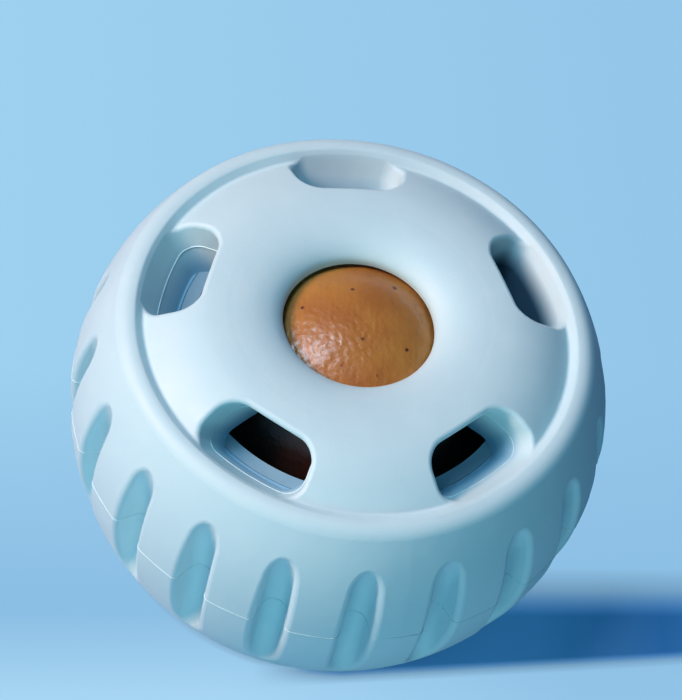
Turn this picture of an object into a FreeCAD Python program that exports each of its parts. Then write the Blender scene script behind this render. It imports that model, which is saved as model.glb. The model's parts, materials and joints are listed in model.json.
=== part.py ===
import FreeCAD, Part
import math
import os

V = FreeCAD.Vector
UP = V(0, 0, 1)
ZERO = V(0, 0, 0)

# A round rubber treat toy in two halves that screw together round a treat ball.
# Lengths are in millimetres, angles in degrees. Each half is drawn with the seam
# at height 0 and its dome upwards, and is put in its place at the end.

# Treat and its chamber
TREAT_R = 27.0
CHAMBER_GAP = 0.3         # treat to rubber, all round
CHAMBER_R = TREAT_R + CHAMBER_GAP
SHOULDER_H = 16.5         # chamber's inner shoulder above the seam

# Dome and lick hole of one half
CREST_COVER = 0.9         # dome's highest ring above the top of the chamber
CREST_H = CHAMBER_R + CREST_COVER
CREST_R = 22.0            # middle of that ring
CREST_LAND = 1.6          # width of its flat, on which the toy rests
LICK_HOLE_R = 13.0
LIP_T = 0.7               # straight wall round the hole
LIP_UNDER_H = math.sqrt(CHAMBER_R ** 2 - LICK_HOLE_R ** 2)
LIP_DROP = CREST_H - LIP_UNDER_H - LIP_T

# Ball side, rim and groove
BALL_R = 47.0             # greatest radius, on the seam
CREST_PROUD = 3.9         # crest above the rim
RIM_H = CREST_H - CREST_PROUD
RIM_ROUND = 3.0           # outer corner of the rim
RIM_CORNER_R = math.sqrt((BALL_R - RIM_ROUND) ** 2 - (RIM_H - RIM_ROUND) ** 2)
RIM_LAND = 0.6            # flat of the rim's top
RIM_INNER_R = RIM_CORNER_R - RIM_LAND
RIM_EDGE_ROUND = 0.8      # rounding of the rim's inner edge
GROOVE_SLOPE = 1.5        # rim's inner edge to the groove's bottom
GROOVE_R = RIM_INNER_R - GROOVE_SLOPE
GROOVE_DEPTH = 1.1        # groove below the rim's top
GROOVE_ROUND = 0.5        # rounding of the groove's bottom

# Windows in the dome
WINDOW_COUNT = 5
WINDOW_PHASE = -90.0      # direction of the first window
WINDOW_BITE = 1.2         # outer edge beyond the groove's bottom
WINDOW_OUTER_R = GROOVE_R + WINDOW_BITE
WINDOW_CREST_GAP = 2.4    # inner edge from the middle of the crest, at the rim's height
WINDOW_INNER_R = CREST_R + WINDOW_CREST_GAP
WINDOW_OUTER_HALF = 10.8  # half width at the outer edge, at the rim's height
WINDOW_INNER_HALF = 7.6   # half width at the inner edge, at the rim's height
WINDOW_LEAN = 41.5        # slope of the window's walls from the axis
WINDOW_DRAFT = 17.0       # slope of its two end walls, which narrow it inwards
WINDOW_OUTER_CORNER = 3.4
WINDOW_INNER_CORNER = 4.0
WINDOW_CORNER_SHARE = 0.35  # most of the window's depth that one corner takes up
WINDOW_EDGE_ROUND = 0.8

# Grip notches across the seam
NOTCH_COUNT = 20
NOTCH_DEPTH = 5.6         # at the seam
NOTCH_FLOOR_R = 67.0      # sweep of the notch's floor along its length
NOTCH_ROOT_ROUND = 2.2    # round bottom of the notch across its length
NOTCH_DRAFT = 10.0        # slope of each side
NOTCH_EDGE_ROUND = 1.1

# Thread inserts
RING_GAP = 0.9            # treat to the inserts' bore
RING_BORE_R = TREAT_R + RING_GAP
RING_WALL = 2.3
SPIGOT_DEPTH = 10.5       # male part below the seam
SOCKET_FLOOR_GAP = 1.0    # spigot's end to the socket's floor
SOCKET_FLOOR_T = 2.0
SOCKET_WALL = 2.2
FLANGE_T = 2.2            # flange of the male insert, on the seam
RIB_OUT = 2.4             # how far the ribs and keys stand into the rubber
RIB_T = 2.0
RIB_H = 8.5               # male insert's rib above the seam
SOCKET_RIB_H = 2.0        # female insert's rib below the seam
KEY_COUNT = 10
KEY_W = 3.0
BOND_GAP = 0.1            # insert to rubber, round its curved faces

# Thread
THREAD_LEAD = 12.0        # rise in one whole turn
THREAD_STARTS = 3
THREAD_DEPTH = 1.1
THREAD_GAP = 0.3          # room from each crest to the wall that faces it
THREAD_ROOT_W = 2.2
THREAD_CREST_W = 1.3
THREAD_END_ROOM = 0.3     # from a ridge to the seam, the spigot's end and the floor
RIDGE_SEAT = 0.4          # how deep a ridge is rooted in its wall

# Worked out from the sizes above
TUBE_R = RING_BORE_R + RING_WALL
SOCKET_R = TUBE_R + THREAD_DEPTH + THREAD_GAP
SOCKET_OUTER_R = SOCKET_R + SOCKET_WALL
SOCKET_DEPTH = SPIGOT_DEPTH + SOCKET_FLOOR_GAP
CLOSE = 0.001             # two places nearer than this are one
PARTING_TURN = WINDOW_PHASE + 180.0 / WINDOW_COUNT + 180.0 / NOTCH_COUNT

# An insert's outside, in stages of (foot, head, radius) away from the seam, and its
# keys as (radius, foot, head)
MALE_STAGES = [
    (0, FLANGE_T, SOCKET_OUTER_R),
    (0, SHOULDER_H, TUBE_R),
    (RIB_H, RIB_H + RIB_T, TUBE_R + RIB_OUT),
]
MALE_KEYS = (TUBE_R, FLANGE_T, RIB_H)
FEMALE_STAGES = [
    (0, SOCKET_DEPTH + SOCKET_FLOOR_T, SOCKET_OUTER_R),
    (0, SHOULDER_H, TUBE_R),
    (SOCKET_RIB_H, SOCKET_RIB_H + RIB_T, SOCKET_OUTER_R + RIB_OUT),
]
FEMALE_KEYS = (SOCKET_OUTER_R, SOCKET_RIB_H + RIB_T, SOCKET_DEPTH)


def side(r, z):
    """A point of a turned outline, drawn in the plane y = 0."""
    return V(r, 0, z)


def polar(radius, angle):
    turn = math.radians(angle)
    return V(radius * math.cos(turn), radius * math.sin(turn), 0)


def line(a, b):
    return Part.LineSegment(a, b).toShape()


def arc(a, middle, b):
    return Part.Arc(a, middle, b).toShape()


def arc_about(centre, a, b):
    """The shorter arc from a to b round the centre."""
    middle = (a - centre) + (b - centre)
    middle.normalize()
    return arc(a, centre + middle * (a - centre).Length, b)


def quarter_ellipse(centre, a, b):
    """Quarter of an ellipse from a to b, whose axes run from the centre to a and b."""
    if (a - centre).Length > (b - centre).Length:
        curve = Part.Ellipse(a, b, centre)
    else:
        curve = Part.Ellipse(b, a, centre)
    start = curve.parameter(a)
    turn = curve.parameter(b) - start
    if abs(turn) > math.pi:
        turn -= math.copysign(2 * math.pi, turn)
    return Part.Arc(curve, min(start, start + turn), max(start, start + turn)).toShape()


def round_about(shape, count):
    """Copies of a shape that lies along +X, evenly spaced from the first window."""
    copies = []
    for k in range(count):
        one = shape.copy()
        one.rotate(ZERO, UP, WINDOW_PHASE + k * 360.0 / count)
        copies.append(one)
    return copies


def middle_of(edge):
    return edge.valueAt((edge.FirstParameter + edge.LastParameter) / 2)


def edges_made(cut, before, on_outside):
    """Edges that a cut has made in the outside of a shape."""
    old_edges = Part.Compound(before.Edges)
    skin = before.Shells[0]
    made = []
    for edge in cut.Edges:
        middle = middle_of(edge)
        spot = Part.Vertex(middle)
        if not on_outside(middle) or skin.distToShape(spot)[0] > CLOSE:
            continue
        if old_edges.distToShape(spot)[0] > CLOSE:
            made.append(edge)
    return made


def edges_at(shape, place):
    """Edges that pass the circle on which a place of the turned outline lies."""
    found = []
    for edge in shape.Edges:
        middle = middle_of(edge)
        if (side(math.hypot(middle.x, middle.y), middle.z) - place).Length < CLOSE:
            found.append(edge)
    return found


def turned_body():
    """Rubber half before it is pierced: ball side, rim, groove, dome and lip."""
    corner = side(RIM_CORNER_R, RIM_H - RIM_ROUND)
    seam_out = side(BALL_R, 0)
    ball_top = corner * (BALL_R / (BALL_R - RIM_ROUND))
    rim_top = side(corner.x, RIM_H)
    rim_in = side(RIM_INNER_R, RIM_H)
    groove = side(GROOVE_R, RIM_H - GROOVE_DEPTH)

    land_out = side(CREST_R + CREST_LAND / 2, CREST_H)
    land_in = side(CREST_R - CREST_LAND / 2, CREST_H)
    reach = groove.x - land_out.x
    rise = CREST_H - groove.z
    dome_r = (reach ** 2 + rise ** 2) / (2 * rise)
    dome_centre = side(land_out.x, CREST_H - dome_r)

    lip = side(LICK_HOLE_R, CREST_H - LIP_DROP)
    lip_under = side(LICK_HOLE_R, LIP_UNDER_H)
    shoulder = side(math.sqrt(CHAMBER_R ** 2 - SHOULDER_H ** 2), SHOULDER_H)
    bore_top = side(RING_BORE_R, SHOULDER_H)
    bore_foot = side(RING_BORE_R, 0)
    outline = Part.Wire([
        arc_about(ZERO, seam_out, ball_top),
        arc_about(corner, ball_top, rim_top),
        line(rim_top, rim_in),
        line(rim_in, groove),
        arc_about(dome_centre, groove, land_out),
        line(land_out, land_in),
        quarter_ellipse(side(land_in.x, lip.z), land_in, lip),
        line(lip, lip_under),
        arc_about(ZERO, lip_under, shoulder),
        line(shoulder, bore_top),
        line(bore_top, bore_foot),
        line(bore_foot, seam_out),
    ])
    body = Part.Face(outline).revolve(ZERO, UP, 360)
    body = body.makeFillet(RIM_EDGE_ROUND, edges_at(body, rim_in))
    body = body.makeFillet(GROOVE_ROUND, edges_at(body, groove))
    body.rotate(ZERO, UP, PARTING_TURN)
    return body


def window_bore():
    """Slanted bore of one window, towards +X, from above the dome to the chamber's shoulder.

    A slab between the window's inner and outer walls is cut off by its two end walls,
    and then its four upright corners are rounded.
    """
    lean = math.tan(math.radians(WINDOW_LEAN))
    widen = math.tan(math.radians(WINDOW_DRAFT))
    above = 2 * (CREST_H - RIM_H)
    below = RIM_H - SHOULDER_H
    slant = V(lean, 0, 1)
    wide = WINDOW_OUTER_R / 2
    wide_turn = math.degrees(math.asin(wide / WINDOW_OUTER_R))
    inner_a, inner_b = V(WINDOW_INNER_R, -wide, 0), V(WINDOW_INNER_R, wide, 0)
    outer_a, outer_b = polar(WINDOW_OUTER_R, -wide_turn), polar(WINDOW_OUTER_R, wide_turn)
    slab = Part.Face(Part.Wire([
        line(inner_a, outer_a),
        arc(outer_a, polar(WINDOW_OUTER_R, 0), outer_b),
        line(outer_b, inner_b),
        line(inner_b, inner_a),
    ]))
    slab.translate(UP * RIM_H + slant * above)
    bore = slab.extrude(slant * -(above + below))

    corner_x = math.sqrt(WINDOW_OUTER_R ** 2 - WINDOW_OUTER_HALF ** 2)
    for way in (-1, 1):
        run = V(corner_x - WINDOW_INNER_R, way * (WINDOW_OUTER_HALF - WINDOW_INNER_HALF), 0)
        corner = V(WINDOW_INNER_R, way * WINDOW_INNER_HALF, RIM_H)
        drafted = slant + V(0, way * widen, 0)
        head, foot = corner + drafted * above, corner - drafted * below
        end_wall = Part.Face(Part.makePolygon([
            head - run, head + run * 2, foot + run * 2, foot - run, head - run]))
        bore = bore.cut(end_wall.extrude(V(0, way * 2 * wide, 0)))

    corner_room = WINDOW_CORNER_SHARE * (corner_x - WINDOW_INNER_R)
    middle_x = (WINDOW_INNER_R + corner_x + lean * (above - below)) / 2
    upright = [e for e in bore.Edges if e.BoundBox.ZLength > above + below - CLOSE]
    outer = [e for e in upright if middle_of(e).x > middle_x]
    inner = [e for e in upright if middle_of(e).x < middle_x]
    bore = bore.makeFillet(min(WINDOW_OUTER_CORNER, corner_room), outer)
    return bore.makeFillet(min(WINDOW_INNER_CORNER, corner_room), inner)


def notch_wheel():
    """Cutter of the grip notch at +X: part of a round-edged wheel turned about Y."""
    draft = math.radians(NOTCH_DRAFT)
    tip_x = BALL_R - NOTCH_DEPTH
    touch = V(tip_x + NOTCH_ROOT_ROUND * (1 - math.sin(draft)),
              NOTCH_ROOT_ROUND * math.cos(draft), 0)
    mouth_x = BALL_R + NOTCH_DEPTH
    mouth = V(mouth_x, touch.y + (mouth_x - touch.x) * math.tan(draft), 0)
    touch_b = V(touch.x, -touch.y, 0)
    mouth_b = V(mouth.x, -mouth.y, 0)
    edge = Part.Face(Part.Wire([
        arc(touch_b, V(tip_x, 0, 0), touch),
        line(touch, mouth),
        line(mouth, mouth_b),
        line(mouth_b, touch_b),
    ]))
    hub = V(tip_x + NOTCH_FLOOR_R, 0, 0)
    half = math.degrees(math.asin(RIM_H / NOTCH_FLOOR_R))
    edge.rotate(hub, V(0, 1, 0), -half)
    return edge.revolve(hub, V(0, 1, 0), 2 * half)


def stepped(stages, grow=0.0):
    """Turned solid from stages of (foot, head, radius), each radius grown by a gap."""
    solids = [Part.makeCylinder(radius + grow, head - foot, V(0, 0, foot))
              for foot, head, radius in stages]
    return solids[0].fuse(solids[1:]).removeSplitter()


def insert_outside(stages, key_stage, grow=0.0):
    """Outside of an insert as the rubber meets it: turned stages and upright keys.

    The keys stop the rubber from turning on the insert.
    """
    wall_r, foot, head = key_stage
    width = KEY_W + 2 * grow
    length = RIDGE_SEAT + RIB_OUT + grow
    key = Part.makeBox(length, width, head - foot, V(wall_r - RIDGE_SEAT, -width / 2, foot))
    return stepped(stages, grow).fuse(round_about(key, KEY_COUNT)).removeSplitter()


def rubber_blank():
    """One moulded rubber half with its windows and notches, not yet hollowed."""
    body = turned_body()
    pierced = body.cut(round_about(window_bore(), WINDOW_COUNT))
    window_edges = edges_made(
        pierced, body, lambda p: p.z > SHOULDER_H + CLOSE and p.Length > CHAMBER_R + CLOSE)
    pierced = pierced.makeFillet(WINDOW_EDGE_ROUND, window_edges)
    notched = pierced.cut(round_about(notch_wheel(), NOTCH_COUNT))
    notch_edges = edges_made(notched, pierced, lambda p: p.z > CLOSE)
    return notched.makeFillet(NOTCH_EDGE_ROUND, notch_edges)


def thread_ridges(wall_r, depth, foot, head, phase):
    """Right-handed ridges on a wall, one for each start.

    depth is positive on the outside of a wall and negative inside a bore. A ridge
    passes the direction given by phase at height 0, if it is carried on that far.
    """
    inwards = math.copysign(RIDGE_SEAT, depth)
    flank = (THREAD_ROOT_W - THREAD_CREST_W) / 2
    half_root = THREAD_ROOT_W / 2 + flank * RIDGE_SEAT / abs(depth)
    half_crest = THREAD_CREST_W / 2
    start = foot + THREAD_ROOT_W / 2
    outline = Part.makePolygon([
        side(wall_r - inwards, start - half_root),
        side(wall_r + depth, start - half_crest),
        side(wall_r + depth, start + half_crest),
        side(wall_r - inwards, start + half_root),
        side(wall_r - inwards, start - half_root),
    ])
    path = Part.makeHelix(THREAD_LEAD, head - foot - THREAD_ROOT_W, wall_r)
    path.translate(V(0, 0, start))
    ridge = Part.Wire(path.Edges).makePipeShell([outline], True, True)
    ridges = []
    for k in range(THREAD_STARTS):
        one = ridge.copy()
        turn = phase + start / THREAD_LEAD * 360.0 + k * 360.0 / THREAD_STARTS
        one.rotate(ZERO, UP, turn)
        ridges.append(one)
    return ridges


def male_insert():
    """Insert of the upper half: flanged tube whose spigot carries the male thread."""
    spigot = Part.makeCylinder(TUBE_R, SPIGOT_DEPTH, V(0, 0, -SPIGOT_DEPTH))
    bore = Part.makeCylinder(RING_BORE_R, SPIGOT_DEPTH + SHOULDER_H, V(0, 0, -SPIGOT_DEPTH))
    body = insert_outside(MALE_STAGES, MALE_KEYS).fuse(spigot).cut(bore).removeSplitter()
    ridges = thread_ridges(TUBE_R, THREAD_DEPTH, THREAD_END_ROOM - SPIGOT_DEPTH,
                           -THREAD_END_ROOM, 0.0)
    return body.fuse(ridges)


def female_insert():
    """Insert of the lower half: socket with the female thread over a narrower tube."""
    outside = insert_outside(FEMALE_STAGES, FEMALE_KEYS).mirror(ZERO, UP)
    bore = Part.makeCylinder(RING_BORE_R, SHOULDER_H, V(0, 0, -SHOULDER_H))
    socket = Part.makeCylinder(SOCKET_R, SOCKET_DEPTH, V(0, 0, -SOCKET_DEPTH))
    body = outside.cut([bore, socket])
    half_start = 180.0 / THREAD_STARTS
    ridges = thread_ridges(SOCKET_R, -THREAD_DEPTH, THREAD_END_ROOM - SOCKET_DEPTH,
                           -THREAD_END_ROOM, half_start)
    return body.fuse(ridges)


def build():
    """Every piece by name, standing on the lower crest with its axis along +Z."""
    blank = rubber_blank()
    upper = blank.cut(insert_outside(MALE_STAGES, MALE_KEYS, BOND_GAP))
    lower = blank.cut(insert_outside(FEMALE_STAGES, FEMALE_KEYS, BOND_GAP))
    pieces = {
        "upper_shell": upper,
        "lower_shell": lower.mirror(ZERO, UP),
        "upper_thread_ring": male_insert(),
        "lower_thread_ring": female_insert(),
        "treat_ball": Part.makeSphere(TREAT_R),
    }
    for shape in pieces.values():
        shape.translate(UP * CREST_H)
    return pieces


os.makedirs("parts", exist_ok=True)
for name, shape in build().items():
    print(name, shape.isValid(), len(shape.Solids), round(shape.Volume, 1))
    shape.exportStep("parts/" + name + ".step")
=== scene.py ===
import json
import logging
import math
from collections.abc import Callable
from dataclasses import dataclass
from enum import Enum

import bpy
from mathutils import Matrix, Vector

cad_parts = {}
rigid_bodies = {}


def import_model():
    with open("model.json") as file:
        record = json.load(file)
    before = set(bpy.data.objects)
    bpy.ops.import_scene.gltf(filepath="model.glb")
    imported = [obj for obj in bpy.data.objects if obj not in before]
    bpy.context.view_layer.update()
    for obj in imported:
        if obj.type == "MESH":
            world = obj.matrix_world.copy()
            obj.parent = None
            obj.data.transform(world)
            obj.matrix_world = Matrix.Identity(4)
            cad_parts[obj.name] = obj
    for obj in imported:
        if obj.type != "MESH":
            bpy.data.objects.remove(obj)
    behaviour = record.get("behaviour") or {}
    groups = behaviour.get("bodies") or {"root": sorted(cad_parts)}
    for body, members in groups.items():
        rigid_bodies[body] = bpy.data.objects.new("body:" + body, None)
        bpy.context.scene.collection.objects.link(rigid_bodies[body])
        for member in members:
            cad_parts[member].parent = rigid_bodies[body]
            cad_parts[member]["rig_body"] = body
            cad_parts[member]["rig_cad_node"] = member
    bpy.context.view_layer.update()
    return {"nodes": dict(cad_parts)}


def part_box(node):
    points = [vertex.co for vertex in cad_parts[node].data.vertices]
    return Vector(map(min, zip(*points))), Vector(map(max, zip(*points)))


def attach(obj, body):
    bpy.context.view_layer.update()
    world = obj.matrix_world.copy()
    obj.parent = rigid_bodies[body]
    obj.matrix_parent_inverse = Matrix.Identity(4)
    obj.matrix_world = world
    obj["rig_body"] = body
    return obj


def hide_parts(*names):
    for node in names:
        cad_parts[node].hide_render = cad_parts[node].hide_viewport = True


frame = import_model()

PHOTO_SIZE = (682, 700)
MM = 0.001
UP = Vector((0.0, 0.0, 1.0))
# Keeps the level part of a vector when the two are multiplied.
LEVEL = (1.0, 1.0, 0.0)
# The treat's most puckered place, along the camera's right, up and backward directions.
PUCKERED_WAY = (-0.10, 0.36, 0.93)
log = logging.getLogger("treat_toy")

Colour = tuple[float, float, float]
Triple = tuple[float, float, float]
Span = tuple[float, float]
Node = bpy.types.Node
Socket = bpy.types.NodeSocket
Material = bpy.types.Material
Piece = bpy.types.Object


class Half(Enum):
    """The two halves of the toy, with the way each one faces from the seam."""

    UPPER = 1
    LOWER = -1

    @property
    def prefix(self) -> str:
        """First word in the names of the half's pieces."""
        return self.name.lower()

    @property
    def shell(self) -> str:
        """Name of the half's rubber shell."""
        return f"{self.prefix}_shell"

    @property
    def insert(self) -> str:
        """Name of the half's thread insert."""
        return f"{self.prefix}_thread_ring"

    @property
    def body(self) -> str:
        """Name of the body that the half moves with."""
        return f"{self.prefix}_half"


class Lamp(Enum):
    """What each lamp is there for."""

    KEY = "key_lamp"
    FILL = "fill_lamp"
    SHEEN = "sheen_lamp"


@dataclass(frozen=True)
class Patches:
    """Cloudy noise, spread so that it makes soft patches.

    Attributes:
        size: size of one cloud, in metres.
        detail: how many finer layers the noise has.
        span: the noise's values where the spread begins and ends.
        result: what comes out at those two values.
        stretch: how much finer the noise is along each axis.
    """

    size: float
    detail: float = 2.0
    span: Span = (0.3, 0.7)
    result: Span = (0.0, 1.0)
    stretch: Triple = (1.0, 1.0, 1.0)


@dataclass(frozen=True)
class Bumps:
    """Cloudy noise that raises a surface.

    Attributes:
        size: size of one bump, in metres.
        depth: how far the surface rises, in metres.
        detail: how many finer layers the noise has.
    """

    size: float
    depth: float
    detail: float = 2.0


def opaque(colour: Colour) -> tuple[float, float, float, float]:
    """Add full alpha to a colour."""
    return (*colour, 1.0)


class Recipe:
    """A node material that is put together from named steps."""

    def __init__(self, name: str) -> None:
        """Start a material with a plain Principled surface.

        Args:
            name: name of the material.
        """
        self.material = bpy.data.materials.new(name)
        self.material.use_nodes = True
        self.tree = self.material.node_tree
        self.surface = self.tree.nodes["Principled BSDF"]
        self.place = self.tree.nodes.new("ShaderNodeTexCoord").outputs["Object"]

    def step(self, kind: str, settings: dict | None = None, inputs: dict | None = None) -> Node:
        """Add one node.

        Args:
            kind: the node's type name.
            settings: properties of the node by name.
            inputs: socket name or number to a value, or to the output that feeds it.

        Returns:
            The new node.
        """
        node = self.tree.nodes.new(kind)
        for key, value in (settings or {}).items():
            setattr(node, key, value)
        for key, value in (inputs or {}).items():
            self.feed(node.inputs[key], value)
        return node

    def feed(self, socket: Socket, value: object) -> None:
        """Link an output to a socket, or set the socket's own value.

        Args:
            socket: the input that is filled.
            value: an output or a plain value.
        """
        if isinstance(value, Socket):
            self.tree.links.new(value, socket)
        else:
            socket.default_value = value

    def noise(self, size: float, detail: float = 2.0, stretch: Triple = (1.0, 1.0, 1.0)) -> Socket:
        """Make cloudy noise.

        Args:
            size: size of one cloud, in metres.
            detail: how many finer layers it has.
            stretch: how much finer it is along each axis.

        Returns:
            The noise, from 0 to 1.
        """
        spread = self.step("ShaderNodeMapping", inputs={"Vector": self.place, "Scale": stretch})
        node = self.step("ShaderNodeTexNoise", inputs={
            "Vector": spread.outputs[0], "Scale": 1.0 / size, "Detail": detail})
        return node.outputs["Fac"]

    def patches(self, plan: Patches) -> Socket:
        """Make cloudy noise and spread it over the plan's results."""
        return self.ramp(self.noise(plan.size, plan.detail, plan.stretch), *plan.span, *plan.result)

    def cells(self, size: float, shift: Triple) -> Socket:
        """Measure the distance to the nearest of many scattered points.

        Args:
            size: mean spacing of the points, in metres.
            shift: how far the pattern is moved along each axis, in metres.

        Returns:
            The distance as a share of the spacing.
        """
        moved = self.step("ShaderNodeMapping", inputs={"Vector": self.place, "Location": shift})
        node = self.step("ShaderNodeTexVoronoi", inputs={
            "Vector": moved.outputs[0], "Scale": 1.0 / size})
        return node.outputs["Distance"]

    def math(self, operation: str, *values: object) -> Socket:
        """Work out one sum from numbers, each a plain value or an output."""
        return self.step("ShaderNodeMath", {"operation": operation}, dict(enumerate(values))).outputs[0]

    def vector(self, operation: str, *values: object) -> Node:
        """Add one sum of vectors, each a plain value or an output."""
        return self.step("ShaderNodeVectorMath", {"operation": operation}, dict(enumerate(values)))

    def height(self, level: float) -> Socket:
        """Measure how far a point lies above or below a level, in metres."""
        parts = self.step("ShaderNodeSeparateXYZ", inputs={"Vector": self.place})
        return self.math("ABSOLUTE", self.math("SUBTRACT", parts.outputs["Z"], level))

    def radius(self) -> Socket:
        """Measure how far a point lies from the upright axis, in metres."""
        flat = self.vector("MULTIPLY", self.place, LEVEL)
        return self.vector("LENGTH", flat.outputs[0]).outputs["Value"]

    def along(self, angle: float) -> Socket:
        """Measure how far a point lies from the upright axis in one level direction, in metres."""
        way = (math.cos(angle), math.sin(angle), 0.0)
        return self.vector("DOT_PRODUCT", self.place, way).outputs["Value"]

    def ramp(self, value: Socket, start: float, end: float,
             low: float = 0.0, high: float = 1.0) -> Socket:
        """Spread a range of a value over another, clamped.

        Args:
            value: what is read.
            start: where the range begins.
            end: where the range ends.
            low: result at start.
            high: result at end.

        Returns:
            The result.
        """
        node = self.step("ShaderNodeMapRange", inputs={
            "Value": value, "From Min": start, "From Max": end, "To Min": low, "To Max": high})
        return node.outputs["Result"]

    def blend(self, share: Socket, first: Colour | Socket, second: Colour | Socket) -> Socket:
        """Mix two colours.

        Args:
            share: how much of the second there is, from 0 to 1.
            first: the colour at 0.
            second: the colour at 1.

        Returns:
            The mixed colour.
        """
        node = self.step("ShaderNodeMix", {"data_type": "RGBA"}, {"Factor": share})
        for name, colour in (("A", first), ("B", second)):
            socket = next(s for s in node.inputs if s.name == name and s.type == "RGBA")
            self.feed(socket, opaque(colour) if isinstance(colour, tuple) else colour)
        return next(s for s in node.outputs if s.type == "RGBA")

    def relief(self, *layers: Bumps) -> Socket:
        """Raise the surface by layers of bumps, one on the other.

        Args:
            layers: the bumps, the lowest layer first.

        Returns:
            The bent normal.
        """
        normal = None
        for bumps in layers:
            inputs = {"Height": self.noise(bumps.size, bumps.detail), "Distance": bumps.depth}
            if normal is not None:
                inputs["Normal"] = normal
            normal = self.step("ShaderNodeBump", inputs=inputs).outputs["Normal"]
        return normal

    def finish(self, values: dict) -> Material:
        """Set the surface's sockets and hand over the material.

        Args:
            values: socket name to a value or an output.

        Returns:
            The finished material.
        """
        for key, value in values.items():
            self.feed(self.surface.inputs[key], value)
        return self.material


@dataclass(frozen=True)
class RubberFinish:
    """Matt moulded rubber, a little cloudy, with a fine grain and painted shade inside the windows.

    The two windows towards one level direction, one in each face, are darkened further by a painted
    shadow. Each pair of lengths says where a change begins and where it is complete. Heights are
    measured from the seam, either way.
    """

    seam: float
    name: str = "pale_blue_rubber"
    colour: Colour = (0.510, 0.775, 0.845)
    cloud_colour: Colour = (0.495, 0.763, 0.838)
    bloom_colour: Colour = (0.528, 0.787, 0.852)
    # Painted shade: the colour that darkens the rubber far inside the windows, where little light
    # reaches.
    deep_colour: Colour = (0.200, 0.460, 0.640)
    # Painted shadow: the near-black colour of the two windows on one side.
    shaded_colour: Colour = (0.015, 0.055, 0.095)
    shaded_way: float = math.radians(54.0)
    shaded_from: Span = (22.5 * MM, 26.0 * MM)
    shaded_h: Span = (22.2 * MM, 19.4 * MM)
    deep_r: Span = (40.0 * MM, 38.6 * MM)
    deep_h: Span = (21.0 * MM, 17.2 * MM)
    cloud: Patches = Patches(22 * MM, detail=3.0, span=(0.35, 0.65))
    bloom: Patches = Patches(5 * MM, detail=4.0, span=(0.50, 0.75), result=(0.0, 0.7))
    roughness: Patches = Patches(5 * MM, result=(0.48, 0.60))
    wave: Bumps = Bumps(6 * MM, depth=0.08 * MM, detail=1.0)
    grain: Bumps = Bumps(0.35 * MM, depth=0.02 * MM)
    sheen: float = 0.10
    sheen_roughness: float = 0.5

    def material(self) -> Material:
        """Build the material.

        Returns:
            The rubber.
        """
        recipe = Recipe(self.name)
        colour = recipe.blend(recipe.patches(self.cloud), self.colour, self.cloud_colour)
        colour = recipe.blend(recipe.patches(self.bloom), colour, self.bloom_colour)
        # Painted shade: darker the nearer a point lies to the axis and to the seam's level.
        height = recipe.height(self.seam)
        inside = recipe.ramp(recipe.radius(), *self.deep_r)
        painted_shade_share = recipe.math("MULTIPLY", inside, recipe.ramp(height, *self.deep_h))
        colour = recipe.blend(painted_shade_share, colour, self.deep_colour)
        # Painted shadow: the two windows on one side are darkened further.
        painted_shadow_share = recipe.math("MULTIPLY", inside, recipe.ramp(height, *self.shaded_h))
        beyond = recipe.ramp(recipe.along(self.shaded_way), *self.shaded_from)
        painted_shadow_share = recipe.math("MULTIPLY", painted_shadow_share, beyond)
        return recipe.finish({
            "Base Color": recipe.blend(painted_shadow_share, colour, self.shaded_colour),
            "Roughness": recipe.patches(self.roughness),
            "Normal": recipe.relief(self.wave, self.grain),
            "Sheen Weight": self.sheen,
            "Sheen Roughness": self.sheen_roughness,
        })


@dataclass(frozen=True)
class FlashFinish:
    """Thin flash of the same rubber inside the windows, lighter because more light comes through it."""

    name: str = "rubber_window_flash"
    colour: Colour = (0.630, 0.875, 0.915)
    thick_colour: Colour = (0.530, 0.780, 0.830)
    patch: Patches = Patches(2.5 * MM, detail=3.0, span=(0.4, 0.6))
    roughness: Patches = Patches(2.5 * MM, detail=3.0, result=(0.35, 0.50))
    ripple: Bumps = Bumps(2.5 * MM, depth=0.03 * MM, detail=3.0)

    def material(self) -> Material:
        """Build the material.

        Returns:
            The flash's rubber.
        """
        recipe = Recipe(self.name)
        return recipe.finish({
            "Base Color": recipe.blend(recipe.patches(self.patch), self.colour, self.thick_colour),
            "Roughness": recipe.patches(self.roughness),
            "Normal": recipe.relief(self.ripple),
        })


@dataclass(frozen=True)
class SeamFlashFinish(FlashFinish):
    """Flash along the seam, nearer to the rubber's own colour than the flash inside the windows."""

    name: str = "rubber_seam_flash"
    colour: Colour = (0.570, 0.825, 0.880)
    thick_colour: Colour = (0.500, 0.755, 0.820)


@dataclass(frozen=True)
class InsertFinish:
    """Moulded nylon, harder than the rubber round it and darker: partly its own colour, partly painted
    shade.
    """

    name: str = "pale_blue_nylon"
    # Partly painted shade: darker than the nylon would look in the open.
    colour: Colour = (0.210, 0.390, 0.490)
    streak_colour: Colour = (0.190, 0.365, 0.470)
    streak: Patches = Patches(5 * MM, detail=3.0, span=(0.4, 0.6), stretch=(1.0, 1.0, 3.0))
    roughness: Patches = Patches(5 * MM, result=(0.50, 0.62))
    grain: Bumps = Bumps(0.2 * MM, depth=0.008 * MM)

    def material(self) -> Material:
        """Build the material.

        Returns:
            The nylon.
        """
        recipe = Recipe(self.name)
        return recipe.finish({
            "Base Color": recipe.blend(recipe.patches(self.streak), self.colour, self.streak_colour),
            "Roughness": recipe.patches(self.roughness),
            "Normal": recipe.relief(self.grain),
        })


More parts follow.
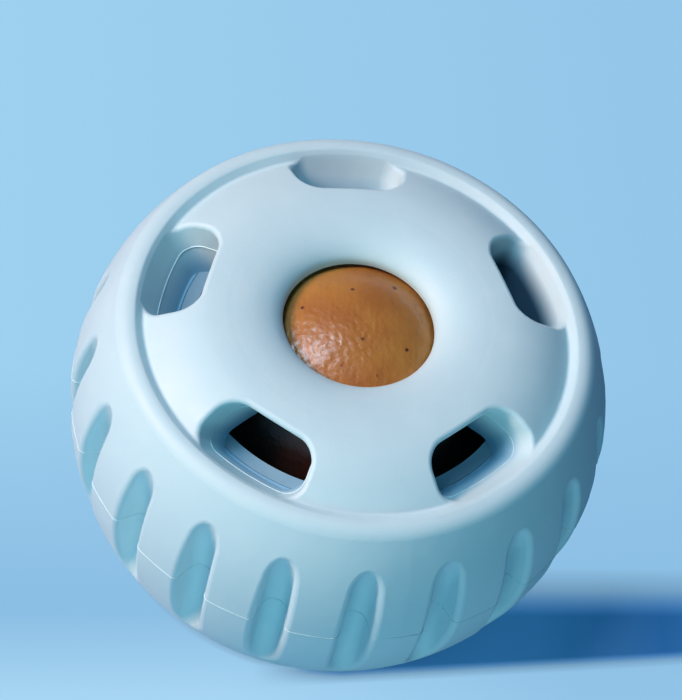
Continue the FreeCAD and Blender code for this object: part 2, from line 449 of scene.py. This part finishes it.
@dataclass(frozen=True)
class TreatFinish:
    """Moist caramel-brown chew with fine dark specks, a glossy skin, and painted shade that darkens its
    middle inside the toy.

    A speck's size is a share of the specks' spacing, and speck_edge says how many sizes out it has
    faded away. Fray is how much of the spacing its edge wanders by, in clouds of fray_size.
    """

    seam: float
    name: str = "caramel_treat"
    amber: Colour = (0.440, 0.212, 0.042)
    brown: Colour = (0.335, 0.128, 0.025)
    # Painted shade: near-black round the treat's middle, where it lies in shadow inside the toy.
    belt: Colour = (0.030, 0.012, 0.007)
    belt_h: Span = (22.0 * MM, 18.5 * MM)
    speck_colour: Colour = (0.075, 0.020, 0.008)
    speck_spacing: float = 3.0 * MM
    speck_shift: Triple = (7 * MM, 13 * MM, 8 * MM)
    speck_size: float = 0.1
    speck_edge: float = 1.6
    fray: float = 0.12
    fray_size: float = 0.7 * MM
    speckled: Patches = Patches(8.4 * MM, detail=1.0, span=(0.37, 0.43))
    patch: Patches = Patches(14 * MM, detail=3.0, span=(0.38, 0.62))
    roughness: Patches = Patches(0.9 * MM, result=(0.30, 0.45))
    pucker: Bumps = Bumps(0.9 * MM, depth=0.10 * MM, detail=3.0)
    pore: Bumps = Bumps(0.35 * MM, depth=0.03 * MM)
    glow_through: float = 0.15
    glow_radii: Triple = (2.5, 1.0, 0.4)
    glow_scale: float = 1 * MM
    coat: float = 0.45
    coat_roughness: float = 0.22

    def specks(self, recipe: Recipe) -> Socket:
        """Scatter ragged dark specks over only some of the surface.

        Args:
            recipe: the treat's material.

        Returns:
            How much of the specks' colour shows, from 0 to 1.
        """
        distance = recipe.cells(self.speck_spacing, self.speck_shift)
        ragged = recipe.math("MULTIPLY_ADD", recipe.noise(self.fray_size), self.fray, distance)
        middle = self.fray / 2
        full = middle + self.speck_size
        gone = middle + self.speck_size * self.speck_edge
        speck = recipe.ramp(ragged, full, gone, 1.0, 0.0)
        return recipe.math("MULTIPLY", speck, recipe.patches(self.speckled))

    def material(self) -> Material:
        """Build the material.

        Returns:
            The treat's skin.
        """
        recipe = Recipe(self.name)
        colour = recipe.blend(recipe.patches(self.patch), self.amber, self.brown)
        colour = recipe.blend(self.specks(recipe), colour, self.speck_colour)
        # Painted shade: the treat darkens towards the seam's level.
        belt = recipe.ramp(recipe.height(self.seam), *self.belt_h)
        return recipe.finish({
            "Base Color": recipe.blend(belt, colour, self.belt),
            "Roughness": recipe.patches(self.roughness),
            "Normal": recipe.relief(self.pucker, self.pore),
            "Subsurface Weight": self.glow_through,
            "Subsurface Radius": self.glow_radii,
            "Subsurface Scale": self.glow_scale,
            "Coat Weight": self.coat,
            "Coat Roughness": self.coat_roughness,
        })


@dataclass(frozen=True)
class FloorFinish:
    """Plain pale blue paper, evenly lit but for the toy's shadow.

    The shadow lies in a band on one side and close under the toy, and in the band it is darkened
    further by painted shadow: the paper's colour darkens to the right and its glow turns dark blue.
    Across and away are level ways from the toy's axis, to the right and to the back as the photograph
    sees it. The pairs of lengths say where a change begins and where it is complete.
    """

    name: str = "pale_blue_paper"
    colour: Colour = (0.306, 0.535, 0.816)
    fibre_colour: Colour = (0.299, 0.527, 0.808)
    # Painted shadow: the paper darkens to this colour towards the right of the band.
    shade_colour: Colour = (0.050, 0.175, 0.420)
    far_colour: Colour = (0.220, 0.380, 0.560)
    left_glow: Colour = (0.342, 0.631, 0.863)
    right_glow: Colour = (0.296, 0.565, 0.814)
    dim_glow: Colour = (0.262, 0.520, 0.775)
    near_glow: Colour = (0.386, 0.665, 0.896)
    # Painted shadow: the dark blue glow the camera sees within the shadow band.
    shade_glow: Colour = (0.030, 0.330, 0.960)
    turn: float = math.radians(-36.7)
    fibre: Patches = Patches(3 * MM, detail=4.0, span=(0.35, 0.65))
    glow_across: Span = (-60 * MM, 75 * MM)
    dim_away: Span = (25 * MM, -22 * MM)
    near_away: Span = (-27 * MM, -43 * MM)
    near_across: Span = (45 * MM, -20 * MM)
    near_least: float = 0.2
    band_back: Span = (-17 * MM, -27 * MM)
    band_front: Span = (-41 * MM, -38 * MM)
    band_slant: float = 0.06
    band_across: Span = (-14 * MM, 2 * MM)
    band_share: float = 0.85
    deepen: Span = (0.4, 0.85)
    shade_across: Span = (38 * MM, 62 * MM)
    contact_r: Span = (39.6 * MM, 36.0 * MM)
    roughness: float = 0.9
    shine: float = 0.1

    def ways(self, recipe: Recipe) -> tuple[Socket, Socket]:
        """Measure how far a point lies across and away from the toy's axis."""
        return recipe.along(-self.turn), recipe.along(math.pi / 2 - self.turn)

    def glow(self, recipe: Recipe) -> Socket:
        """Colour the paper's even glow: lighter to the left and nearest to the camera.

        Args:
            recipe: the paper's material.

        Returns:
            The colour.
        """
        across, away = self.ways(recipe)
        colour = recipe.blend(recipe.ramp(across, *self.glow_across), self.left_glow, self.right_glow)
        colour = recipe.blend(recipe.ramp(away, *self.dim_away), colour, self.dim_glow)
        near = recipe.ramp(across, *self.near_across, self.near_least)
        near = recipe.math("MULTIPLY", recipe.ramp(away, *self.near_away), near)
        return recipe.blend(near, colour, self.near_glow)

    def shadow(self, recipe: Recipe) -> Socket:
        """Find where the lit paper shows with its shadow: in the slanting band and under the toy.

        Args:
            recipe: the paper's material.

        Returns:
            How much of the lit paper shows, from 0 to 1.
        """
        across, away = self.ways(recipe)
        slanted = recipe.math("SUBTRACT", away, recipe.math("MULTIPLY", across, self.band_slant))
        back = recipe.ramp(away, *self.band_back)
        front = recipe.ramp(slanted, *self.band_front)
        side = recipe.ramp(across, *self.band_across, 0.0, self.band_share)
        band = recipe.math("MULTIPLY", recipe.math("MULTIPLY", back, front), side)
        return recipe.math("MAXIMUM", band, recipe.ramp(recipe.radius(), *self.contact_r))

    def lit(self, recipe: Recipe, glow: Socket, band: Socket) -> Material:
        """Show the camera the paper's even glow, and the lit paper itself where the shadow lies.

        Args:
            recipe: the paper's material.
            glow: colour of the glow.
            band: how much of the lit paper shows, from 0 to 1.

        Returns:
            The finished material.
        """
        rays = recipe.step("ShaderNodeLightPath")
        even = recipe.step("ShaderNodeEmission", inputs={"Color": glow})
        rest = recipe.math("SUBTRACT", 1.0, band)
        share = recipe.math("MULTIPLY", rays.outputs["Is Camera Ray"], rest)
        choice = recipe.step("ShaderNodeMixShader", inputs={
            0: share, 1: recipe.surface.outputs[0], 2: even.outputs[0]})
        recipe.feed(recipe.tree.nodes["Material Output"].inputs["Surface"], choice.outputs[0])
        return recipe.material

    def material(self) -> Material:
        """Build the material.

        Returns:
            The paper.
        """
        recipe = Recipe(self.name)
        band = self.shadow(recipe)
        paper = recipe.blend(recipe.patches(self.fibre), self.colour, self.fibre_colour)
        # Painted shadow: the paper's colour darkens towards the right.
        shade = recipe.ramp(self.ways(recipe)[0], *self.shade_across)
        paper = recipe.blend(shade, paper, self.shade_colour)
        recipe.finish({
            "Base Color": recipe.blend(band, self.far_colour, paper),
            "Roughness": self.roughness,
            "Specular IOR Level": self.shine,
        })
        # Painted shadow: inside the band the glow turns dark blue.
        glow = recipe.blend(recipe.ramp(band, *self.deepen), self.glow(recipe), self.shade_glow)
        return self.lit(recipe, glow, band)


def clear_selection() -> None:
    """Leave object mode with nothing selected."""
    if bpy.context.object and bpy.context.object.mode != "OBJECT":
        bpy.ops.object.mode_set(mode="OBJECT")
    bpy.ops.object.select_all(action="DESELECT")


def take(piece: Piece) -> None:
    """Select one piece alone and make it the active one.

    Args:
        piece: the object to take.
    """
    clear_selection()
    piece.select_set(True)
    bpy.context.view_layer.objects.active = piece


def pick_points(piece: Piece, wanted: Callable[[Vector], bool]) -> None:
    """Enter edit mode with only some of a piece's points selected.

    Args:
        piece: the object to edit.
        wanted: says of a point whether it is selected.
    """
    take(piece)
    mesh = piece.data
    for parts in (mesh.polygons, mesh.edges):
        parts.foreach_set("select", [False] * len(parts))
    mesh.vertices.foreach_set("select", [wanted(vertex.co) for vertex in mesh.vertices])
    bpy.ops.object.mode_set(mode="EDIT")
    bpy.ops.mesh.select_mode(type="VERT")


def apply_modifier(piece: Piece, kind: str, settings: dict) -> None:
    """Shape a piece by one modifier and keep the result as its mesh.

    Args:
        piece: the object to shape.
        kind: the modifier's type name.
        settings: properties of the modifier by name.
    """
    take(piece)
    modifier = piece.modifiers.new(kind.lower(), kind)
    for key, value in settings.items():
        setattr(modifier, key, value)
    bpy.ops.object.modifier_apply(modifier=modifier.name)


def settle(piece: Piece) -> None:
    """Move a piece's place, turn and scale into its mesh."""
    take(piece)
    bpy.ops.object.transform_apply(location=True, rotation=True, scale=True)


def cloud_texture(name: str, size: float, depth: int) -> bpy.types.Texture:
    """Soft clouds for a displacement.

    Args:
        name: name of the texture.
        size: size of one cloud, in the piece's own units.
        depth: number of finer layers.

    Returns:
        The texture.
    """
    texture = bpy.data.textures.new(name, "CLOUDS")
    texture.noise_scale = size
    texture.noise_depth = depth
    return texture


@dataclass
class Treat:
    """The ball of treat: lumpy, with fine puckers that run one way and are deepest round one spot.

    It is modelled with the width of a pucker as its unit, because the pattern of waves has a size
    of its own. The waves follow one another along wave_way, which is turned to the camera's right.
    """

    seam: Vector
    across: Vector
    spot: Vector
    finish: TreatFinish
    radius: float = 26.9 * MM
    unit: float = 1.3 * MM
    divisions: int = 6
    cap: float = 0.86
    wave_way: Triple = (1.0, 1.0, 1.0)
    wave_size: float = 1.3
    turbulence: float = 7.0
    spot_reach: Span = (math.radians(32.0), math.radians(14.0))
    smooth_share: float = 0.15
    lump: float = 11 * MM
    lump_depth: float = 0.35 * MM
    pucker_depth: float = 0.24 * MM
    pit: float = 1.0 * MM
    pit_depth: float = 0.14 * MM

    def refine(self, ball: Piece, up: Vector) -> None:
        """Divide the two caps that show in the lick holes more finely.

        Args:
            ball: the ball, about its own centre.
            up: the toy's axis in the ball's own directions.
        """
        edge = self.cap * self.radius / self.unit
        pick_points(ball, lambda point: abs(point.dot(up)) > edge)
        bpy.ops.mesh.subdivide(number_cuts=1)
        bpy.ops.object.mode_set(mode="OBJECT")

    def pucker_share(self, ball: Piece, spot: Vector) -> str:
        """Weigh the ball's points by how deeply the skin is puckered there.

        Args:
            ball: the ball, about its own centre.
            spot: direction of the most puckered place in the ball's own directions.

        Returns:
            Name of the group of weights.
        """
        group = ball.vertex_groups.new(name="puckered")
        far, near = self.spot_reach
        for vertex in ball.data.vertices:
            share = (far - vertex.co.angle(spot)) / (far - near)
            group.add([vertex.index], max(self.smooth_share, min(1.0, share)), "REPLACE")
        return group.name

    def puckers(self) -> bpy.types.Texture:
        """Soft waves for the puckers.

        Returns:
            The texture.
        """
        texture = bpy.data.textures.new("puckers", "MARBLE")
        texture.marble_type = "SOFT"
        texture.turbulence = self.turbulence
        texture.noise_scale = self.wave_size
        return texture

    def roughen(self, ball: Piece, group: str) -> None:
        """Sink the skin between lumps, puckers and pits.

        Args:
            ball: the ball, about its own centre.
            group: name of the weights that say how deep the puckers are.
        """
        for texture, depth, where in (
                (cloud_texture("lumps", self.lump / self.unit, depth=1), self.lump_depth, ""),
                (self.puckers(), self.pucker_depth, group),
                (cloud_texture("pits", self.pit / self.unit, depth=2), self.pit_depth, "")):
            apply_modifier(ball, "DISPLACE", {
                "texture": texture, "texture_coords": "LOCAL", "mid_level": 1.0,
                "strength": depth / self.unit, "vertex_group": where})

    def build(self) -> None:
        """Model the ball about its own centre, then put it in its place and dress it."""
        clear_selection()
        bpy.ops.mesh.primitive_ico_sphere_add(
            subdivisions=self.divisions, radius=self.radius / self.unit)
        ball = bpy.context.object
        ball.name = "treat_skin"
        turn = Vector(self.wave_way).rotation_difference(self.across)
        self.refine(ball, turn.inverted() @ UP)
        self.roughen(ball, self.pucker_share(ball, turn.inverted() @ self.spot))
        ball.rotation_mode = "QUATERNION"
        ball.rotation_quaternion = turn
        ball.scale = (self.unit,) * 3
        ball.location = self.seam
        settle(ball)
        ball.vertex_groups.clear()
        bpy.ops.object.shade_smooth()
        ball.data.materials.append(self.finish.material())
        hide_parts("treat_ball")
        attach(ball, "treat")
        log.info("treat: %d faces", len(ball.data.polygons))


@dataclass
class RubberHalf:
    """One moulded rubber half: its shell and the flash that the mould leaves on it.

    Flash is found by cutting the shell with a plane. A window's plane leans by window_tilt, and of its
    cut only the walls of that window are kept, between the radii and as far aside as wall_in,
    wall_out and wall_aside say. The seam's cut is kept outside skin_r, and the lower half's only
    within land_r, in the notches. Windows are counted from 0, which is the one at first_window, and
    clean_windows are those without flash.
    """

    half: Half
    seam: Vector
    rubber: Material
    window_skin: Material
    seam_skin: Material
    windows: int = 5
    clean_windows: tuple[int, ...] = (2, 3)
    first_window: float = math.radians(-90.0)
    window_flash_r: float = 0.14 * MM
    seam_flash_r: float = 0.10 * MM
    window_r: float = 33.4 * MM
    window_h: float = 19.9 * MM
    window_tilt: float = math.radians(18.0)
    wall_in: float = 19.6 * MM
    wall_out: float = 35.5 * MM
    wall_aside: float = 12 * MM
    seam_gap: float = 0.16 * MM
    skin_r: float = 40.5 * MM
    land_r: float = 45.6 * MM
    weld: float = 0.001 * MM
    bead_steps: int = 1

    def dress(self) -> None:
        """Give the shell its rubber."""
        shell = frame["nodes"][self.half.shell]
        shell.data.materials.clear()
        shell.data.materials.append(self.rubber)
        log.info("%s: %d faces", self.half.shell, len(shell.data.polygons))

    def outline(self, place: Vector, normal: Vector, name: str) -> Piece:
        """Cut a copy of the shell by a plane and keep only the lines of the cut.

        Args:
            place: a point of the plane.
            normal: the plane's normal.
            name: name of the new piece.

        Returns:
            The lines, as an object with edges only.
        """
        clear_selection()
        copy = frame["nodes"][self.half.shell].copy()
        copy.data = copy.data.copy()
        copy.parent = None
        copy.name = name
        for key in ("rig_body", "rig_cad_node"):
            del copy[key]
        bpy.context.scene.collection.objects.link(copy)
        take(copy)
        bpy.ops.object.mode_set(mode="EDIT")
        bpy.ops.mesh.select_all(action="SELECT")
        bpy.ops.mesh.remove_doubles(threshold=self.weld)
        bpy.ops.mesh.bisect(plane_co=place, plane_no=normal, clear_inner=True, clear_outer=True)
        bpy.ops.object.mode_set(mode="OBJECT")
        copy.data.materials.clear()
        return copy

    def prune(self, lines: Piece, wanted: Callable[[Vector], bool]) -> None:
        """Delete the faces of an outline, and its points that aren't wanted.

        Args:
            lines: the cut lines.
            wanted: says of a point whether it stays.
        """
        pick_points(lines, lambda point: True)
        bpy.ops.mesh.delete(type="ONLY_FACE")
        pick_points(lines, lambda point: not wanted(point))
        bpy.ops.mesh.delete(type="VERT")
        bpy.ops.object.mode_set(mode="OBJECT")

    def bead(self, lines: Piece, radius: float, skin: Material) -> None:
        """Turn an outline into a thin round bead.

        Args:
            lines: the cut lines.
            radius: the bead's radius, in metres.
            skin: the bead's material.
        """
        take(lines)
        bpy.ops.object.convert(target="CURVE")
        lines.data.bevel_depth = radius
        lines.data.bevel_resolution = self.bead_steps
        bpy.ops.object.convert(target="MESH")
        bpy.ops.object.shade_smooth()
        lines.data.materials.append(skin)
        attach(lines, self.half.body)
        log.info("%s: %d faces", lines.name, len(lines.data.polygons))

    def window_flash(self) -> None:
        """Lay a bead of flash round the walls of each window but those that came out clean."""
        turn = math.tau / self.windows
        for k in range(self.windows):
            if k in self.clean_windows:
                continue
            angle = self.first_window + k * turn
            out = Vector((math.cos(angle), math.sin(angle), 0.0))
            facing = UP * self.half.value
            place = self.seam + out * self.window_r + facing * self.window_h
            normal = facing * math.cos(self.window_tilt) + out * math.sin(self.window_tilt)
            lines = self.outline(place, normal, f"{self.half.prefix}_window_flash_{k + 1}")
            self.prune(lines, lambda p, o=out: self.in_window(p, o))
            self.bead(lines, self.window_flash_r, self.window_skin)

    def in_window(self, point: Vector, out: Vector) -> bool:
        """Say whether a point of a cut lies on the walls of one window.

        Args:
            point: the point.
            out: level direction of the window from the axis.

        Returns:
            Whether it does.
        """
        flat = Vector((point.x, point.y, 0.0))
        beside = abs(out.cross(flat).z) < self.wall_aside
        return beside and out.dot(flat) > self.wall_in and flat.length < self.wall_out

    def seam_flash(self) -> None:
        """Lay a bead of flash along the shell's edge at the seam; only the upper half's is unbroken."""
        facing = UP * self.half.value
        place = self.seam + facing * self.seam_gap
        lines = self.outline(place, facing, f"{self.half.prefix}_seam_flash")
        most_r = self.land_r if self.half is Half.LOWER else math.inf
        self.prune(lines, lambda p: self.skin_r < math.hypot(p.x, p.y) < most_r)
        self.bead(lines, self.seam_flash_r, self.seam_skin)

    def build(self) -> None:
        """Dress the shell and lay its flash."""
        self.dress()
        self.window_flash()
        self.seam_flash()


@dataclass
class ThreadInsert:
    """One thread insert: its shape is the frame's, with the finish of moulded nylon."""

    half: Half
    nylon: Material

    def build(self) -> None:
        """Dress the insert."""
        ring = frame["nodes"][self.half.insert]
        ring.data.materials.clear()
        ring.data.materials.append(self.nylon)
        log.info("%s: %d faces", self.half.insert, len(ring.data.polygons))


@dataclass(frozen=True)
class SoftLamp:
    """One square soft lamp.

    Attributes:
        use: what it is there for.
        way: where it hangs, along the camera's right, up and backward directions.
        size: its side, in metres.
        level: how bright a white surface that faces it looks.
        colour: colour of its light.
        distance: how far it hangs from the seam's centre, in metres.
    """

    use: Lamp
    way: Triple
    size: float
    level: float
    colour: Colour
    distance: float = 1.6


LAMPS = (
    SoftLamp(Lamp.KEY, way=(-0.68, 0.40, 0.62), size=0.55, level=1.06, colour=(1.0, 0.565, 0.44)),
    SoftLamp(Lamp.FILL, way=(-0.20, -0.70, 0.69), size=1.20, level=1.0, colour=(0.20, 0.415, 0.435)),
    SoftLamp(Lamp.SHEEN, way=(-0.26, 0.63, 0.73), size=0.50, level=0.52, colour=(0.58, 0.79, 1.0)),
)


@dataclass
class Studio:
    """Pale floor, soft lamps and the camera that stands where the photograph was taken."""

    seam: Vector
    finish: FloorFinish = FloorFinish()
    camera_distance: float = 0.470
    camera_height: float = math.radians(56.0)
    camera_way: float = math.radians(-70.0)
    camera_lean: float = math.radians(15.0)
    focal_px: float = 2663.0
    seam_px: Span = (338.0, 403.2)
    sensor: float = 36.0
    clip: Span = (0.01, 50.0)
    floor_r: float = 4.0
    floor_sides: int = 96
    sky: Colour = (0.001, 0.050, 0.100)
    backdrop: Colour = (0.320, 0.600, 0.840)

    def view_axes(self) -> tuple[Vector, Vector, Vector]:
        """Find the camera's own directions when it looks at the seam's centre.

        Returns:
            Its right, up and backward directions.
        """
        flat = math.cos(self.camera_height)
        back = Vector((flat * math.cos(self.camera_way), flat * math.sin(self.camera_way),
                       math.sin(self.camera_height)))
        level_right = UP.cross(back).normalized()
        level_up = back.cross(level_right)
        cos, sin = math.cos(self.camera_lean), math.sin(self.camera_lean)
        right = level_right * cos + level_up * sin
        up = level_up * cos - level_right * sin
        return right, up, back

    def camera(self) -> None:
        """Stand the camera so that the seam's centre falls on its place in the picture."""
        right, up, back = self.view_axes()
        scale = self.camera_distance / self.focal_px
        aside = PHOTO_SIZE[0] / 2 - self.seam_px[0]
        above = self.seam_px[1] - PHOTO_SIZE[1] / 2
        aim = self.seam + (right * aside + up * above) * scale
        stand = self.seam + back * self.camera_distance
        back = (stand - aim).normalized()
        right = (right - back * right.dot(back)).normalized()
        up = back.cross(right)
        data = bpy.data.cameras.new("camera")
        data.sensor_width = self.sensor
        data.lens = self.focal_px / max(PHOTO_SIZE) * self.sensor
        data.clip_start, data.clip_end = self.clip
        camera = bpy.data.objects.new("camera", data)
        turn = Matrix((right, up, back)).transposed().to_4x4()
        camera.matrix_world = Matrix.Translation(stand) @ turn
        bpy.context.scene.collection.objects.link(camera)
        bpy.context.scene.camera = camera

    def from_view(self, way: Triple) -> Vector:
        """Turn a way along the camera's right, up and backward directions into the frame's."""
        right, up, back = self.view_axes()
        return (right * way[0] + up * way[1] + back * way[2]).normalized()

    def lamp(self, plan: SoftLamp) -> None:
        """Hang one lamp that shines at the seam's centre.

        Args:
            plan: the lamp's place, size and light.
        """
        way = self.from_view(plan.way)
        data = bpy.data.lights.new(plan.use.value, "AREA")
        data.shape = "SQUARE"
        data.size = plan.size
        data.energy = plan.level * (math.pi * plan.distance) ** 2
        data.color = plan.colour
        lamp = bpy.data.objects.new(plan.use.value, data)
        lamp.rotation_mode = "QUATERNION"
        lamp.rotation_quaternion = way.to_track_quat("Z", "Y")
        lamp.location = self.seam + way * plan.distance
        bpy.context.scene.collection.objects.link(lamp)

    def floor(self) -> None:
        """Lay the floor under the toy."""
        clear_selection()
        bpy.ops.mesh.primitive_circle_add(
            vertices=self.floor_sides, radius=self.floor_r, fill_type="NGON")
        floor = bpy.context.object
        floor.name = "floor"
        floor.data.materials.append(self.finish.material())

    def air(self) -> None:
        """Fill the room with weak blue light, and show the backdrop's colour behind the floor."""
        world = bpy.data.worlds.new("room")
        world.use_nodes = True
        nodes, links = world.node_tree.nodes, world.node_tree.links
        glow = nodes["Background"]
        glow.inputs["Color"].default_value = opaque(self.sky)
        shown = nodes.new("ShaderNodeBackground")
        shown.inputs["Color"].default_value = opaque(self.backdrop)
        rays = nodes.new("ShaderNodeLightPath")
        choice = nodes.new("ShaderNodeMixShader")
        links.new(rays.outputs["Is Camera Ray"], choice.inputs["Fac"])
        links.new(glow.outputs[0], choice.inputs[1])
        links.new(shown.outputs[0], choice.inputs[2])
        links.new(choice.outputs[0], nodes["World Output"].inputs["Surface"])
        bpy.context.scene.world = world

    def build(self) -> None:
        """Set up the camera, the floor and the light."""
        self.camera()
        self.floor()
        self.air()
        for plan in LAMPS:
            self.lamp(plan)
        bpy.context.scene.view_settings.view_transform = "Standard"
        log.info("studio: camera, floor and lamps")


def main() -> None:
    """Build every sub-assembly in order."""
    logging.basicConfig(level=logging.INFO, format="%(name)s: %(message)s")
    low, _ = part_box(Half.UPPER.shell)
    seam = Vector((0.0, 0.0, low.z))
    studio = Studio(seam)
    studio.build()
    rubber = RubberFinish(seam.z).material()
    window_skin = FlashFinish().material()
    seam_skin = SeamFlashFinish().material()
    nylon = InsertFinish().material()
    for half in Half:
        RubberHalf(half, seam, rubber, window_skin, seam_skin).build()
        ThreadInsert(half, nylon).build()
    right, _, _ = studio.view_axes()
    puckered = studio.from_view(PUCKERED_WAY)
    Treat(seam, right, puckered, TreatFinish(seam.z)).build()


if __name__ == "__main__":
    main()
